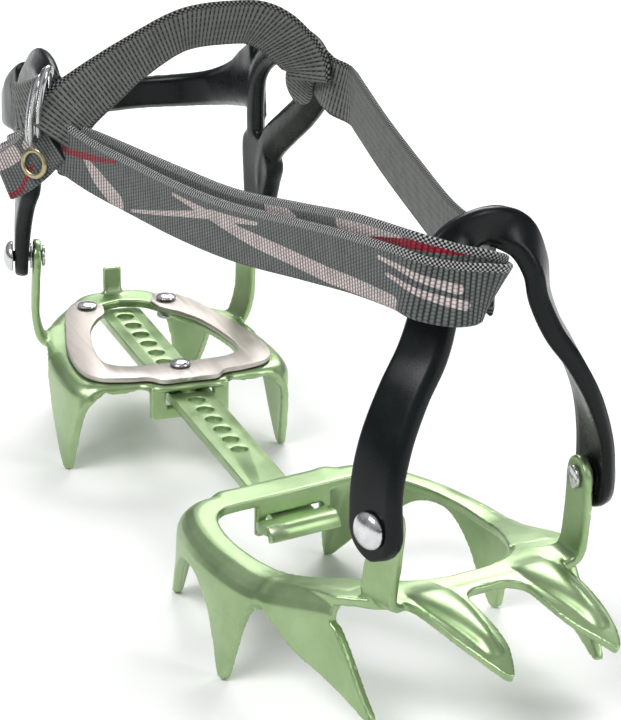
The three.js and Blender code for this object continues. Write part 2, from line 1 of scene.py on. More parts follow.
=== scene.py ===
"""Looks for the crampon: fine stamped frames, moulded bails, rivets and woven straps.

Shapes are drawn in millimetres in the drawing axes (hole row on y = 0, toe towards +X) and
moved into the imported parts' axes by MOVE, which is read from the parts themselves.
"""

import math

import bpy
import numpy as np
from mathutils import Matrix, Vector


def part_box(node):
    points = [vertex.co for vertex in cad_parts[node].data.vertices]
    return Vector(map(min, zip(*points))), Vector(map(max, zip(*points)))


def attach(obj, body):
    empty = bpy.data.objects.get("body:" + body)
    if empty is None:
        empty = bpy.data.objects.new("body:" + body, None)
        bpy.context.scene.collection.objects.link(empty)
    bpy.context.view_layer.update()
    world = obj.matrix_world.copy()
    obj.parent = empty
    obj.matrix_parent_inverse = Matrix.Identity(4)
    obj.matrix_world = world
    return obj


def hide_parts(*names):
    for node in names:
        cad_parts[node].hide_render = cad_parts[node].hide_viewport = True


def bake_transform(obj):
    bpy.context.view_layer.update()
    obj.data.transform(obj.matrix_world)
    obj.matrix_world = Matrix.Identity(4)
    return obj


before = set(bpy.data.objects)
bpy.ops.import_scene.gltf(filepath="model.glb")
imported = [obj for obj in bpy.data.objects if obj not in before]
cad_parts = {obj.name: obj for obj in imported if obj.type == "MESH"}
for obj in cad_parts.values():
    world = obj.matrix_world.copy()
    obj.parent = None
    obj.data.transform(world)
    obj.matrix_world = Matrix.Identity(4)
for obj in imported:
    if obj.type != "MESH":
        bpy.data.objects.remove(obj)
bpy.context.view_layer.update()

# ---- driving dimensions, in millimetres ----------------------------------------------------
BAR_TOP = 26.5
BAR_THICKNESS = 3.0
BAR_WIDTH = 13.0
BAR_REAR = 72.0
HOLE_PITCH = 8.0
HOLE_COUNT = 15
HOLE_RADIUS = 2.4
FIRST_HOLE = -64.5
HEEL_SHEET = 2.5
HEEL_TOP = 29.5
HEEL_POST = 2.4
SPRING_TOP = 31.4
SPRING_THICKNESS = 1.5
TOE_SHEET = 2.6
TOE_YAW = math.radians(14.3)
TOE_START = 80
TOE_SHIFT = 3.75
TOE_EAR = (105.6, 30.6, 63.0)
HEEL_EAR = (-47.0, 33.0, 56.0)
TOE_CANT = math.radians(10)
HEEL_CANT = math.radians(-14)
STRAP_WIDTH = 17.5
STRAP_THICKNESS = 1.8
TUCK_THICKNESS = 1.7
ANKLE_X = 9.5
RIVET_SHANK = 1.6
WASHER_BORE = 1.9
BAIL_ARM = 4
UPRIGHT = (0, 0, 1)


def drawing_offset():
    """Millimetres from the drawing's origin to the parts' own, from the bar and the heel frame."""
    bar_low, bar_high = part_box("linking_bar")
    heel_low, heel_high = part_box("heel_frame")
    return np.array([
        bar_low[0] * 1000 + BAR_REAR,
        (heel_low[1] + heel_high[1]) * 500,
        bar_high[2] * 1000 - BAR_TOP,
    ])


MOVE = drawing_offset()


# ---- numbers -------------------------------------------------------------------------------
def smoothstep(value, low, high):
    share = np.clip((value - low) / (high - low), 0, 1)
    return share * share * (3 - 2 * share)


def spline(rows, u, closed=False):
    """A Catmull-Rom reading of rows: rows[i] is met at u = i."""
    rows = np.asarray(rows, float)
    u = np.atleast_1d(np.asarray(u, float))
    if len(rows) == 1:
        return np.repeat(rows, len(u), axis=0)
    count = len(rows)
    if closed:
        i = np.floor(u).astype(int)
        t = (u - i)[:, None]
        p = [rows[(i + k) % count] for k in (-1, 0, 1, 2)]
    else:
        i = np.clip(np.floor(u).astype(int), 0, count - 2)
        t = (u - i)[:, None]
        padded = np.vstack([2 * rows[:1] - rows[1:2], rows, 2 * rows[-1:] - rows[-2:-1]])
        p = [padded[i + k] for k in (0, 1, 2, 3)]
    return 0.5 * (2 * p[1] + (p[2] - p[0]) * t + (2 * p[0] - 5 * p[1] + 4 * p[2] - p[3]) * t ** 2
                  + (3 * p[1] - p[0] - 3 * p[2] + p[3]) * t ** 3)


def unit(rows):
    return rows / np.maximum(np.linalg.norm(rows, axis=-1, keepdims=True), 1e-9)


def from_toe(rows):
    """Points in the toe frame's own axes, in the drawing axes."""
    rows = np.asarray(rows, float)
    cos, sin = math.cos(TOE_YAW), math.sin(TOE_YAW)
    origin = np.array([TOE_START + TOE_SHIFT * sin, -TOE_SHIFT * cos])
    x = origin[0] + cos * rows[..., 0] - sin * rows[..., 1]
    y = origin[1] + sin * rows[..., 0] + cos * rows[..., 1]
    return np.stack([x, y, rows[..., 2]], axis=-1)


# ---- meshes --------------------------------------------------------------------------------
def make(name, vertices, faces, toe=False):
    """An object from points in drawing axes, or in the toe frame's axes."""
    vertices = np.asarray(vertices, float)
    if toe:
        vertices = from_toe(vertices)
    mesh = bpy.data.meshes.new(name)
    mesh.from_pydata(((vertices + MOVE) / 1000).tolist(), [], [list(map(int, face)) for face in faces])
    mesh.validate()
    mesh.update()
    mesh.shade_smooth()
    obj = bpy.data.objects.new(name, mesh)
    bpy.context.scene.collection.objects.link(obj)
    return obj


def ring_faces(rings, size, closed):
    """Faces between rings of points; the ends are capped unless the last ring meets the first."""
    faces = []
    links = rings if closed else rings - 1
    for i in range(links):
        a = i * size
        b = ((i + 1) % rings) * size
        for j in range(size):
            k = (j + 1) % size
            faces.append((a + j, b + j, b + k, a + k))
    if not closed:
        faces.append(tuple(range(size)))
        faces.append(tuple(range((rings - 1) * size, rings * size))[::-1])
    return faces


def band(route, across, shape, step=1.0, corner=0.7, closed=False, width_points=5, arc_points=3,
         round_start=0.0, round_end=0.0):
    """A flat band along a route: vertices, faces, and how far along and across each vertex is.

    shape rows are (width, thickness). round_start and round_end are the radius of a round end.
    """
    route = np.asarray(route, float)
    span = len(route) if closed else len(route) - 1
    fine = spline(route, np.linspace(0, span, 40 * span + 1)[:-1 if closed else None], closed)
    if closed:
        fine = np.vstack([fine, fine[:1]])
    gone = np.concatenate([[0], np.cumsum(np.linalg.norm(np.diff(fine, axis=0), axis=1))])
    length = gone[-1]
    count = max(int(length / step), 3)
    stops = np.linspace(0, length, count + 1)
    if closed:
        stops = stops[:-1]
    for radius, near in ((round_start, True), (round_end, False)):
        if radius:
            share = radius * (1 - np.cos(np.linspace(0.12, math.pi / 2, 9)))
            share = share if near else length - share[::-1]
            keep = stops > radius if near else stops < length - radius
            stops = np.concatenate([share, stops[keep]] if near else [stops[keep], share])
    u = np.interp(stops, gone, np.linspace(0, span, len(fine)))
    centre = spline(route, u % len(route) if closed else u, closed)
    along = unit(spline(route, (u + 0.03) % len(route) if closed else np.minimum(u + 0.03, span), closed)
                 - spline(route, (u - 0.03) % len(route) if closed else np.maximum(u - 0.03, 0), closed))
    wide = spline(across, u * (len(across) - 1) / span)
    wide = unit(wide - along * np.sum(wide * along, axis=1, keepdims=True))
    thin = np.cross(along, wide)
    sizes = spline(shape, u * (len(shape) - 1) / span)
    width = sizes[:, 0].copy()
    for radius, near in ((round_start, True), (round_end, False)):
        if radius:
            d = stops if near else length - stops
            inside = d < radius
            width[inside] *= np.sqrt(np.maximum(1 - (1 - d[inside] / radius) ** 2, 0.0009))
    half = width / 2
    deep = sizes[:, 1] / 2
    cut = np.minimum(corner * deep, half)
    section = []
    flat = np.linspace(-1, 1, width_points)
    turn = np.linspace(0, math.pi / 2, arc_points + 2)[1:-1]
    for w in flat:
        section.append((w, 0, 1, 0))
    for angle in turn:
        section.append((1, math.sin(angle), 1, math.cos(angle) - 1))
    section.append((1, 1, 0, 0))
    for w in flat[::-1]:
        section.append((w, 0, -1, 0))
    for angle in turn:
        section.append((-1, -math.sin(angle), -1, 1 - math.cos(angle)))
    section.append((-1, -1, 0, 0))
    points = []
    crosswise = []
    for w, out, side, down in section:
        x = w * (half - cut) + out * cut
        z = side * deep + down * cut
        points.append(centre + wide * x[:, None] + thin * z[:, None])
        crosswise.append(x)
    vertices = np.stack(points, axis=1)
    size = len(section)
    where = np.stack([np.repeat(stops[:, None], size, axis=1), np.stack(crosswise, axis=1)], axis=-1)
    faces = ring_faces(len(stops), size, closed)
    return vertices.reshape(-1, 3), faces, where.reshape(-1, 2)


def sheet(grid, thickness, looped=False):
    """A pressed sheet of even thickness about a grid of middle points."""
    grid = np.asarray(grid, float)
    rows, columns = grid.shape[:2]
    if looped:
        down = np.roll(grid, -1, axis=0) - np.roll(grid, 1, axis=0)
    else:
        down = np.gradient(grid, axis=0)
    side = np.gradient(grid, axis=1)
    normal = unit(np.cross(down, side))
    vertices = np.concatenate([(grid + normal * thickness / 2).reshape(-1, 3),
                               (grid - normal * thickness / 2).reshape(-1, 3)])
    under = rows * columns
    faces = []
    spans = rows if looped else rows - 1
    for i in range(spans):
        a = i * columns
        b = ((i + 1) % rows) * columns
        for j in range(columns - 1):
            faces.append((a + j, b + j, b + j + 1, a + j + 1))
            faces.append((a + j + under, a + j + 1 + under, b + j + 1 + under, b + j + under))
        faces.append((b, a, a + under, b + under))
        faces.append((a + columns - 1, b + columns - 1, b + columns - 1 + under, a + columns - 1 + under))
    if not looped:
        end = (rows - 1) * columns
        for j in range(columns - 1):
            faces.append((j, j + 1, j + 1 + under, j + under))
            faces.append((end + j + 1, end + j, end + j + under, end + j + 1 + under))
    return vertices, faces


def box_mesh(low, high):
    corners = [(x, y, z) for x in (low[0], high[0]) for y in (low[1], high[1]) for z in (low[2], high[2])]
    faces = [(0, 1, 3, 2), (4, 6, 7, 5), (0, 4, 5, 1), (2, 3, 7, 6), (0, 2, 6, 4), (1, 5, 7, 3)]
    return np.array(corners, float), faces


def lathe(profile, centre, axis, sides=40, looped=False):
    """A turned piece from rows of (radius, distance along axis).

    looped joins the last row to the first, without end caps.
    """
    axis = unit(np.asarray(axis, float))
    helper = np.array([0, 0, 1.0]) if abs(axis[2]) < 0.9 else np.array([1.0, 0, 0])
    first = unit(np.cross(axis, helper))
    second = np.cross(axis, first)
    angles = np.arange(sides) * 2 * math.pi / sides
    spokes = np.outer(np.cos(angles), first) + np.outer(np.sin(angles), second)
    rows = np.asarray(profile, float)
    vertices = np.concatenate([centre + axis * d + spokes * max(r, 0.02) for r, d in rows])
    faces = ring_faces(len(rows), sides, looped)
    return vertices, faces


def disc(radius, thickness, centre, axis):
    t = thickness / 2
    rows = [(0.01, -t), (radius - 0.3, -t), (radius, -t + 0.3)]
    rows += [(radius, t - 0.3), (radius - 0.3, t), (0.01, t)]
    return lathe(rows, np.asarray(centre, float), axis)


def merged(pieces):
    vertices = []
    faces = []
    start = 0
    for piece in pieces:
        vertices.append(piece[0])
        faces += [tuple(k + start for k in face) for face in piece[1]]
        start += len(piece[0])
    return np.concatenate(vertices), faces


def fused(name, pieces, voxel, rounds, toe=False):
    """The pieces grown into one skin with soft inner corners, as a pressed or moulded part has."""
    obj = make(name, *merged(pieces), toe=toe)
    remesh = obj.modifiers.new("fuse", "REMESH")
    remesh.mode = "VOXEL"
    remesh.voxel_size = voxel / 1000
    remesh.use_smooth_shade = True
    soften = obj.modifiers.new("soften", "SMOOTH")
    soften.factor = 0.5
    soften.iterations = rounds
    return baked(obj)


def baked(obj):
    """The object with its modifiers applied."""
    depsgraph = bpy.context.evaluated_depsgraph_get()
    mesh = bpy.data.meshes.new_from_object(obj.evaluated_get(depsgraph))
    obj.modifiers.clear()
    old = obj.data
    obj.data = mesh
    mesh.name = obj.name
    mesh.shade_smooth()
    bpy.data.meshes.remove(old)
    return obj


def attribute(obj, name, values):
    layer = obj.data.attributes.new(name, "FLOAT", "POINT")
    layer.data.foreach_set("value", np.asarray(values, np.float32))


def finish_piece(obj, body, look, slot, *nodes):
    obj.data.materials.clear()
    obj.data.materials.append(look)
    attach(obj, body)
    if nodes:
        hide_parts(*nodes)
    return obj


# ---- node materials ------------------------------------------------------------------------
class Look:
    """A small builder for a procedural material."""

    def __init__(self, name):
        self.material = bpy.data.materials.new(name)
        self.material.use_nodes = True
        self.tree = self.material.node_tree
        self.shader = self.tree.nodes["Principled BSDF"]
        self.space = None

    def put(self, socket, value):
        if isinstance(value, bpy.types.NodeSocket):
            self.tree.links.new(value, socket)
        else:
            socket.default_value = value

    def node(self, kind, **inputs):
        node = self.tree.nodes.new(kind)
        for name, value in inputs.items():
            self.put(node.inputs[name], value)
        return node

    def math(self, operation, *values):
        node = self.tree.nodes.new("ShaderNodeMath")
        node.operation = operation
        for k, value in enumerate(values):
            self.put(node.inputs[k], value)
        return node.outputs[0]

    def place(self):
        if self.space is None:
            self.space = self.node("ShaderNodeTexCoord").outputs["Object"]
        return self.space

    def noise(self, scale, detail=3.0, rough=0.5, stretch=None):
        space = self.place()
        if stretch:
            space = self.node("ShaderNodeMapping", Vector=space, Scale=stretch).outputs[0]
        node = self.node("ShaderNodeTexNoise", Vector=space, Scale=scale, Detail=detail, Roughness=rough)
        return node.outputs["Fac"]

    def ramp(self, value, low, high, bottom=0.0, top=1.0):
        node = self.node("ShaderNodeMapRange", Value=value)
        for name, number in (("From Min", low), ("From Max", high), ("To Min", bottom), ("To Max", top)):
            node.inputs[name].default_value = number
        return node.outputs["Result"]

    def mix(self, share, first, second):
        node = self.tree.nodes.new("ShaderNodeMix")
        node.data_type = "RGBA"
        self.put(node.inputs["Factor"], share)
        self.put(node.inputs[6], first)
        self.put(node.inputs[7], second)
        return node.outputs[2]

    def read(self, name):
        node = self.tree.nodes.new("ShaderNodeAttribute")
        node.attribute_name = name
        return node.outputs["Fac"]

    def edges(self, low, high):
        point = self.tree.nodes.new("ShaderNodeNewGeometry").outputs["Pointiness"]
        return self.ramp(point, low, high)

    def bump(self, height, distance, strength=1.0, before=None):
        node = self.node("ShaderNodeBump", Height=height, Distance=distance, Strength=strength)
        if before is not None:
            self.put(node.inputs["Normal"], before)
        return node.outputs[0]

    def finish(self, **inputs):
        for name, value in inputs.items():
            self.put(self.shader.inputs[name.replace("_", " ")], value)
        return self.material


def color(red, green, blue):
    return (red, green, blue, 1.0)


def green_metal():
    look = Look("anodised_green")
    cloud = look.noise(60, 4, 0.6)
    base = look.mix(look.ramp(cloud, 0.35, 0.65), color(0.29, 0.41, 0.205), color(0.385, 0.515, 0.285))
    scratch = look.noise(900, 2, 0.6, (1, 0.12, 1))
    worn = look.math("MULTIPLY", look.edges(0.53, 0.60), look.ramp(look.noise(240, 3, 0.6), 0.30, 0.55))
    base = look.mix(look.math("MULTIPLY", worn, 0.7), base, color(0.74, 0.80, 0.62))
    rough = look.ramp(cloud, 0.3, 0.7, 0.31, 0.43)
    rough = look.math("ADD", rough, look.ramp(scratch, 0.62, 0.75, 0.0, 0.10))
    fine = look.bump(look.noise(2600, 2, 0.5), 0.00004, 0.35)
    normal = look.bump(look.noise(70, 2, 0.5), 0.0004, 0.12, fine)
    return look.finish(Base_Color=base, Metallic=0.85, Roughness=rough, Normal=normal)


def spring_metal():
    look = Look("satin_spring_steel")
    grain = look.noise(700, 3, 0.6, (0.08, 1, 1))
    base = look.mix(look.ramp(grain, 0.3, 0.7), color(0.40, 0.36, 0.325), color(0.52, 0.475, 0.435))
    worn = look.edges(0.52, 0.6)
    base = look.mix(worn, base, color(0.85, 0.83, 0.80))
    rough = look.ramp(grain, 0.3, 0.7, 0.36, 0.50)
    normal = look.bump(grain, 0.00003, 0.5)
    return look.finish(Base_Color=base, Metallic=0.9, Roughness=rough, Normal=normal)


def rivet_metal(name, tint, low, high):
    look = Look(name)
    cloud = look.noise(500, 3, 0.6)
    base = look.mix(look.ramp(cloud, 0.35, 0.7), color(*[0.8 * v for v in tint]), color(*tint))
    rough = look.ramp(cloud, 0.35, 0.7, low, high)
    normal = look.bump(look.noise(1500, 2, 0.5), 0.00003, 0.4)
    return look.finish(Base_Color=base, Metallic=0.95, Roughness=rough, Normal=normal)


def black_plastic():
    look = Look("moulded_black")
    cloud = look.noise(40, 3, 0.55)
    base = look.mix(look.ramp(cloud, 0.3, 0.7), color(0.003, 0.0045, 0.005), color(0.006, 0.009, 0.009))
    rubbed = look.edges(0.53, 0.62)
    base = look.mix(look.math("MULTIPLY", rubbed, 0.4), base, color(0.012, 0.015, 0.015))
    rough = look.ramp(look.noise(160, 4, 0.6), 0.3, 0.7, 0.22, 0.34)
    grain = look.node("ShaderNodeTexVoronoi", Vector=look.place(), Scale=2600.0).outputs["Distance"]
    normal = look.bump(grain, 0.00004, 0.35)
    normal = look.bump(cloud, 0.0003, 0.08, normal)
    return look.finish(Base_Color=base, Roughness=rough, Normal=normal, Specular_IOR_Level=0.2)


YARN_PITCH = 1.0
RIM_PITCH = 1.2


def webbing(name, dark, light, rib=1.45, dashes=0.0, printed=False):
    """Ribbed webbing, woven along the attributes along and across, in millimetres.

    dashes is the pitch of the pale warp lines along the strap, or 0 for none. The colour is lighter on the
    rib crests and darker in the gaps between ribs and yarns: painted light and shade.
    """
    look = Look(name)
    half_width = STRAP_WIDTH / 2
    along = look.read("along")
    across = look.read("across")
    step = look.math("FLOOR", look.math("DIVIDE", along, rib))
    crest = look.math("ABSOLUTE", look.math("SINE", look.math("MULTIPLY", along, math.pi / rib)))
    shift = look.math("MULTIPLY", look.math("MODULO", step, 2.0), 0.5)
    yarn = look.math("FRACT", look.math("ADD", look.math("DIVIDE", across, YARN_PITCH), shift))
    stitch = look.math("SINE", look.math("MULTIPLY", yarn, math.pi))
    rise = look.math("POWER", crest, 0.55)
    height = look.math("MULTIPLY", rise, look.ramp(stitch, 0.0, 0.8, 0.62, 1.0))
    if printed:
        edge = look.ramp(across, half_width - 2.6, half_width - 2.3)
    else:
        edge = look.ramp(look.math("ABSOLUTE", across), half_width - 1.3, half_width - 1.1)
    cross = look.math("MULTIPLY", look.math("SINE", look.math("MULTIPLY", along, 2 * math.pi / RIM_PITCH)),
                      look.math("SINE", look.math("MULTIPLY", across, 2 * math.pi / RIM_PITCH)))
    spots = look.ramp(cross, -0.05, 0.3)
    mottled = look.ramp(look.noise(260, 3, 0.6), 0.3, 0.7, 0.72, 1.1)
    # Painted light and shade: the rib and yarn crests are coloured lighter and the gaps between them darker,
    # times a random tone.
    shade = look.math("MULTIPLY", look.ramp(height, 0.34, 0.95), mottled)
    # The printed webbing's rib gaps are painted darker still: painted shade.
    if printed:
        shade = look.math("MULTIPLY", shade, look.ramp(crest, 0.2, 0.62, 0.25, 1.0))
    # With dashes the painted shade comes from the rib crests alone, and pale warp lines are laid over it.
    if dashes:
        line = look.math("SINE", look.math("MULTIPLY", across, math.pi / dashes))
        line = look.ramp(look.math("ABSOLUTE", line), 0.3, 0.62, 0.6, 0.0)
        shade = look.math("MULTIPLY", look.ramp(crest, 0.3, 0.78), mottled)
        shade = look.math("MAXIMUM", shade, look.math("MULTIPLY", line, mottled))
    # dark and light are the webbing's shaded and lit copies, mixed by the painted light and shade.
    base = look.mix(shade, dark, light)
    rim = look.mix(spots, color(0.006, 0.007, 0.008), light)
    # The print's pale and red colours are mixed from shaded and lit copies by the same painted shade.
    if printed:
        pale = look.mix(shade, color(*[0.55 * v for v in light[:3]]), color(0.68, 0.57, 0.55))
        red = look.mix(shade, color(0.05, 0.003, 0.007), color(0.33, 0.010, 0.030))
        base = look.mix(look.ramp(look.read("pale"), 0.4, 0.6), base, pale)
        base = look.mix(look.ramp(look.read("red"), 0.4, 0.6), base, red)
        rim = look.mix(spots, color(0.006, 0.007, 0.008), color(0.42, 0.42, 0.42))
    base = look.mix(edge, base, rim)
    fuzz = look.noise(4200, 2, 0.6)
    normal = look.bump(fuzz, 0.00006, 0.3)
    normal = look.bump(height, 0.0004, 0.9, normal)
    return look.finish(Base_Color=base, Roughness=look.ramp(height, 0.0, 1.0, 0.95, 0.78), Normal=normal,
                       Specular_IOR_Level=0.2, Sheen_Weight=0.15, Sheen_Roughness=0.5)


GREEN = green_metal()
SPRING = spring_metal()
RIVET = rivet_metal("domed_steel", (0.72, 0.72, 0.73), 0.14, 0.30)
WIRE = rivet_metal("ring_wire", (0.62, 0.63, 0.64), 0.12, 0.26)
BRASS = rivet_metal("eyelet_brass", (0.50, 0.42, 0.26), 0.22, 0.38)
BLACK = black_plastic()
GREY_WEB = webbing("grey_webbing", color(0.012, 0.016, 0.015), color(0.175, 0.184, 0.172), rib=1.2,
                   dashes=2.2)
PRINT_WEB = webbing("printed_webbing", color(0.012, 0.017, 0.017), color(0.14, 0.153, 0.147), printed=True)


# ---- toe frame -----------------------------------------------------------------------------
# Frame outlines are (x, y). Teeth rows are (place on the outlines, x, y, z) of the skirt's lower
# edge. Nose edges are (y, x of the rear edge, x of the front edge).
def toe_height(x):
    """Height of the toe frame's flat top, at the middle of its sheet."""
    nose = np.maximum(x - 104, 0) / 38
    share = smoothstep(x, 55, 100)
    return 31.5 + 7 * share + 3 * nose - 11 * nose * nose


TOE_OUTER = [(3, 0), (3, 12), (2.5, 20), (4, 27), (9, 33), (20, 38.3), (33, 41.8), (50, 43.5),
             (66, 42.5), (80, 40.5), (92, 38)]
TOE_INNER = [(14.5, 0), (14.5, 11), (14.5, 19), (15.5, 24), (20, 28), (28, 31.3), (38, 33.3),
             (50, 33.8), (64, 32), (76, 27.5), (88, 21)]
TOE_TEETH = [(0, 3, 0, 28.5), (1, 3, 12, 28.5), (1.7, 2, 17, 28), (2.2, -2, 21, 21),
             (2.7, -6, 24.3, 0.9), (2.95, -4.2, 26.2, 0.9), (3.4, 5, 31.3, 11), (4.2, 12.5, 35.3, 17.5),
             (4.8, 19, 38, 22.8), (5.4, 26, 40, 24.6), (5.9, 33, 41.8, 23.3), (6.3, 39.5, 42.6, 17.3),
             (6.6, 44, 43.4, 9), (6.85, 48.4, 44.6, 0.9), (7, 51.2, 44.8, 0.9), (7.15, 54, 44.2, 9),
             (7.4, 57, 43.6, 18), (7.7, 61, 43.2, 25), (7.95, 65, 42.8, 26.8), (8.3, 70.5, 42.2, 24.5),
             (8.7, 79, 41, 19.6), (9.1, 89, 39.3, 16.4), (9.4, 99, 37.8, 12.8), (9.6, 107.3, 36.8, 9.4),
             (9.72, 109, 36.7, 10.8), (9.82, 103.5, 37, 18.3), (9.92, 98.8, 37.3, 25), (10, 94, 37.8, 31)]


def skirted_rail(inner, outer, teeth, height, bend, thickness, looped):
    """A flat-topped rail whose outer side is bent down into a pointed skirt, on both sides."""
    rows = spline(teeth, np.linspace(0, len(teeth) - 1, 5 * (len(teeth) - 1) + 1))
    half = []
    for u, x, y, z in rows:
        z = max(z, 0.7)
        inside = np.append(spline(inner, u)[0], 0)
        outside = np.append(spline(outer, u)[0], 0)
        outwards = unit(outside - inside)
        top = float(height(outside[0]))
        radius = max(min(bend, top - z - 0.1), 0.3)
        flat_end = outside - outwards * radius
        flat_end[2] = top
        inside[2] = float(height(inside[0]))
        column = [inside + (flat_end - inside) * k for k in (0, 0.25, 0.5, 0.75, 1)]
        for degrees in (18, 36, 54, 72, 90):
            angle = math.radians(degrees)
            point = flat_end + outwards * radius * math.sin(angle)
            point[2] = top - radius * (1 - math.cos(angle))
            column.append(point)
        foot = np.array([x, y, z])
        last = column[-1]
        column += [last + (foot - last) * k / 7 for k in range(1, 8)]
        half.append(column)
    half = np.array(half)
    other = half[1:-1] if looped else half[1:]
    other = other[::-1] * np.array([1, -1, 1])
    return sheet(np.concatenate([other, half]), thickness, looped)


NOSE_EDGES = [(0, 98, 107.5), (5, 98, 107.8), (8, 97.6, 110), (9.3, 97, 114), (9.8, 97, 124),
              (11.2, 96.5, 132), (13.4, 95.6, 137.4), (15.6, 94.5, 141.6), (16.8, 93.8, 142.6),
              (18.4, 92.6, 141), (20.4, 90.6, 136), (22.4, 88, 128), (23.6, 86, 119), (24.3, 84.5, 110),
              (25.4, 82, 105.5), (28, 77, 103.5), (32, 73, 101), (35, 72, 96.5), (38, 72, 92.5)]


def nose_plate():
    half = spline(NOSE_EDGES, np.linspace(0, len(NOSE_EDGES) - 1, 6 * (len(NOSE_EDGES) - 1) + 1))
    rows = np.concatenate([half[1:][::-1] * np.array([-1, 1, 1]), half])
    share = np.linspace(0, 1, 60)
    x = rows[:, 1:2] + (rows[:, 2:3] - rows[:, 1:2]) * share
    y = np.repeat(rows[:, :1], len(share), axis=1)
    off = np.abs(y) - 16.8
    crown = 0.035 * np.minimum(np.maximum(x - 106, 0) / 20, 1) * off ** 2
    run = smoothstep(x, 98, 108) * np.sqrt(np.clip((135.5 - x) / 5, 0, 1))
    wide = 5.2 - 3.6 * smoothstep(x, 108, 136)
    tongue = 1.8 * run * np.sqrt(np.clip(1 - (off / wide) ** 2, 0, 1))
    groove = 0.35 * run * np.exp(-((np.abs(off) - wide - 0.4) / 0.6) ** 2)
    z = toe_height(x) - crown + tongue - groove
    return sheet(np.stack([x, y, z], axis=-1), TOE_SHEET)


def across_arm(cant, side):
    return (math.cos(cant), -side * math.sin(cant), 0)


def out_of_arm(cant, side):
    return np.array([math.sin(cant), side * math.cos(cant), 0])


def on_side(rows, side):
    return [(x, side * y, z) for x, y, z in rows]


def bail_post(route, width, thickness, ear, cant, ear_radius, side):
    blade = band(on_side(list(route) + [ear], side), [across_arm(cant, side)], [(width, thickness)],
                 step=0.8, corner=0.35)
    eye = np.array(ear) * (1, side, 1)
    return [blade[:2], disc(ear_radius, thickness, eye, out_of_arm(cant, side))]


def window_flange(low, high, hole_low, hole_high):
    """A plate square to X with one window, as four bars that meet."""
    x0, y0, z0 = low
    x1, y1, z1 = high
    a, b = hole_low
    c, d = hole_high
    return [box_mesh((x0, y0, z0), (x1, a, z1)), box_mesh((x0, c, z0), (x1, y1, z1)),
            box_mesh((x0, y0, z0), (x1, y1, b)), box_mesh((x0, y0, d), (x1, y1, z1))]


def toe_frame():
    pieces = [skirted_rail(TOE_INNER, TOE_OUTER, TOE_TEETH, toe_height, 6, TOE_SHEET, False), nose_plate()]
    for side in (-1, 1):
        pieces += bail_post([(100, 24, 38.4), (101.4, 28.6, 38.8), (102.6, 31, 42), (104.4, 31, 52)],
                            11.5, TOE_SHEET, TOE_EAR, TOE_CANT, 5.7, side)
    pieces += window_flange((12.2, -11.4, 21.2), (14.5, 12.8, 31.5), (-8.6, 23.1), (9.8, 27))
    return fused("toe_frame_skin", pieces, 0.45, toe=True, rounds=3)


finish_piece(toe_frame(), "toe_unit", GREEN, "green_metal", "toe_frame")

# ---- heel frame ----------------------------------------------------------------------------
HEEL_OUTER = [(1, 0), (1, 9), (-3, 14), (-4, 24), (-6, 31), (-14, 33.5), (-30, 33), (-40, 31),
              (-50, 28.7), (-59, 25.5), (-70, 18), (-78, 9), (-79.5, 0)]
HEEL_INNER = [(-12, 0), (-12, 8), (-12, 13), (-13, 18), (-16, 21), (-20, 22), (-30, 21.5),
              (-40, 19.5), (-48, 17), (-54, 14), (-62, 11), (-68.5, 6.5), (-71, 0)]
HEEL_TEETH = [(0, 1, 0, 27.6), (1, 1, 9, 27.6), (2, -3, 14, 27.4), (3, -4, 24, 27), (3.6, -3.5, 29.5, 25),
              (4, -5.5, 32, 18), (4.4, -12, 33.2, 0.9), (4.8, -15, 33.4, 0.9), (5.3, -21, 33.4, 7),
              (5.7, -27, 33.3, 15.5), (6.2, -32, 33, 22.5), (6.7, -37, 32, 26.6), (7.6, -46, 29.8, 27.4),
              (8.4, -53.5, 27.6, 27.2), (8.9, -58, 26, 24), (9.3, -60.6, 23.8, 14), (9.7, -64.8, 19.6, 0.9),
              (9.9, -66.8, 18.2, 0.9), (10.2, -69.8, 17.6, 14), (10.5, -73.5, 14.6, 24.5), (11, -78, 9, 27.3),
              (12, -79.5, 0, 27.4)]


def heel_frame():
    pieces = [skirted_rail(HEEL_INNER, HEEL_OUTER, HEEL_TEETH, lambda x: HEEL_TOP - HEEL_SHEET / 2, 3.5,
                           HEEL_SHEET, True)]
    for side in (-1, 1):
        pieces += bail_post([(-50, 24, 28.2), (-49.4, 30.4, 28.7), (-48.6, 33, 36), (-47.8, 33.2, 46)],
                            9, HEEL_POST, HEEL_EAR, HEEL_CANT, 5, side)
    pieces += window_flange((-1.4, -12, 18.6), (1.2, 12, 28.7), (-7.4, 22.2), (7.4, 27))
    pieces.append(band([(-73, 0, 28.2), (-76.6, 0, 28.3), (-78.6, 0, 31.5), (-79, 0, 37.6)], [(0, 1, 0)],
                       [(6, 2.2)], step=0.7, corner=0.35)[:2])
    return fused("heel_frame_skin", pieces, 0.5, rounds=4)


finish_piece(heel_frame(), "heel_unit", GREEN, "green_metal", "heel_frame")


